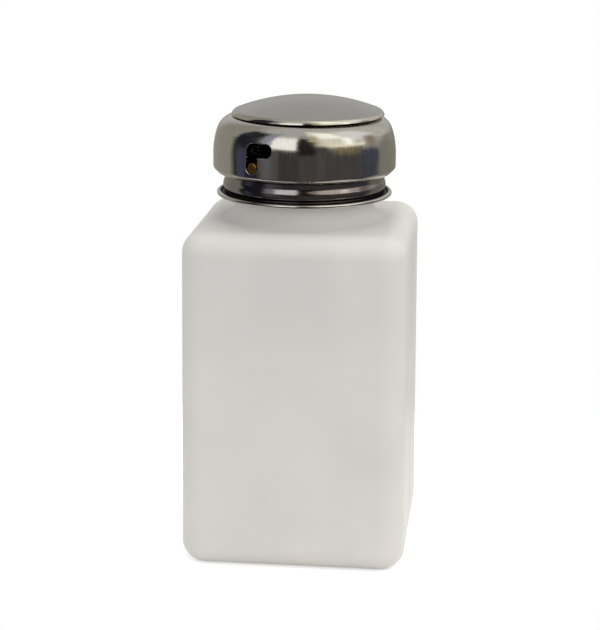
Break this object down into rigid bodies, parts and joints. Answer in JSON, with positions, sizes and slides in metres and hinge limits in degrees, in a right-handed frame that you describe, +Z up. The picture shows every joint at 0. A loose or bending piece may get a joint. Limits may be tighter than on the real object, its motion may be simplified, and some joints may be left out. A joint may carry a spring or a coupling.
{
  "type": "pump bottle",
  "caption": "Square frosted plastic bottle with a stainless press-top pump head: slotted lock collar, brass pin, floating domed lid and a dip tube pump inside.",
  "frame": {"origin": "centre of the base on the plane that the bottle stands on", "axes": "+Z up along the neck, X and Y square to the bottle's flat sides, -Y towards the lock slot side"},
  "size_m": [0.056, 0.056, 0.1151],
  "materials": {
    "frosted_hdpe": "frosted natural polyethylene, slightly translucent",
    "polished_steel": "polished stainless steel with fine draw marks",
    "satin_steel": "satin stainless steel",
    "plain_steel": "plain turned stainless steel",
    "brass": "bare brass, dulled",
    "white_plastic": "moulded white plastic",
    "tube_plastic": "extruded natural plastic tube",
    "seal_rubber": "black seal rubber"
  },
  "bodies": {
    "bottle": {"bottle": "frosted_hdpe"},
    "gasket": {"neck_gasket": "seal_rubber"},
    "screw_cap": {"screw_cap_shell": "polished_steel", "thread_insert": "white_plastic", "lock_pin_1": "brass", "lock_pin_2": "brass", "pump_barrel": "white_plastic", "stem_bush": "white_plastic", "intake_fitting": "white_plastic", "ball_cage": "white_plastic", "dip_tube": "tube_plastic", "return_spring": "plain_steel"},
    "intake_valve": {"intake_ball": "plain_steel"},
    "press_head": {"press_collar": "polished_steel", "outlet_dish": "polished_steel", "hollow_stem": "plain_steel", "piston": "white_plastic", "piston_o_ring": "seal_rubber", "ball_stop_pin": "plain_steel", "nozzle_nut": "plain_steel"},
    "outlet_valve": {"outlet_ball": "plain_steel"},
    "lid": {"domed_lid": "satin_steel", "lid_guide_pin": "plain_steel", "lid_seal": "seal_rubber", "lid_clip": "plain_steel"}
  },
  "joints": [
    {"name": "cap_lift", "type": "slide", "parent": "bottle", "child": "gasket", "axis": [0, 0, 1], "range_m": [0, 0.0053]},
    {"name": "cap_turn", "type": "hinge", "parent": "gasket", "child": "screw_cap", "pos_m": [0, 0, 0.0994], "axis": [0, 0, 1], "range_deg": [0, 450]},
    {"name": "head_press", "type": "slide", "parent": "screw_cap", "child": "press_head", "axis": [0, 0, -1], "range_m": [0, 0.0044], "stiffness_N_per_m": 700, "springref_m": -0.01, "deforming": ["return_spring"]},
    {"name": "lid_lift", "type": "slide", "parent": "press_head", "child": "lid", "axis": [0, 0, 1], "range_m": [0, 0.0015]},
    {"name": "intake_valve_lift", "type": "slide", "parent": "screw_cap", "child": "intake_valve", "axis": [0, 0, 1], "range_m": [0, 0.0012]},
    {"name": "outlet_valve_lift", "type": "slide", "parent": "press_head", "child": "outlet_valve", "axis": [0, 0, 1], "range_m": [0, 0.0012]}
  ],
  "couplings": [
    {"joint": "cap_lift", "follows": "cap_turn", "m_per_rad": 0.00067323}
  ]
}
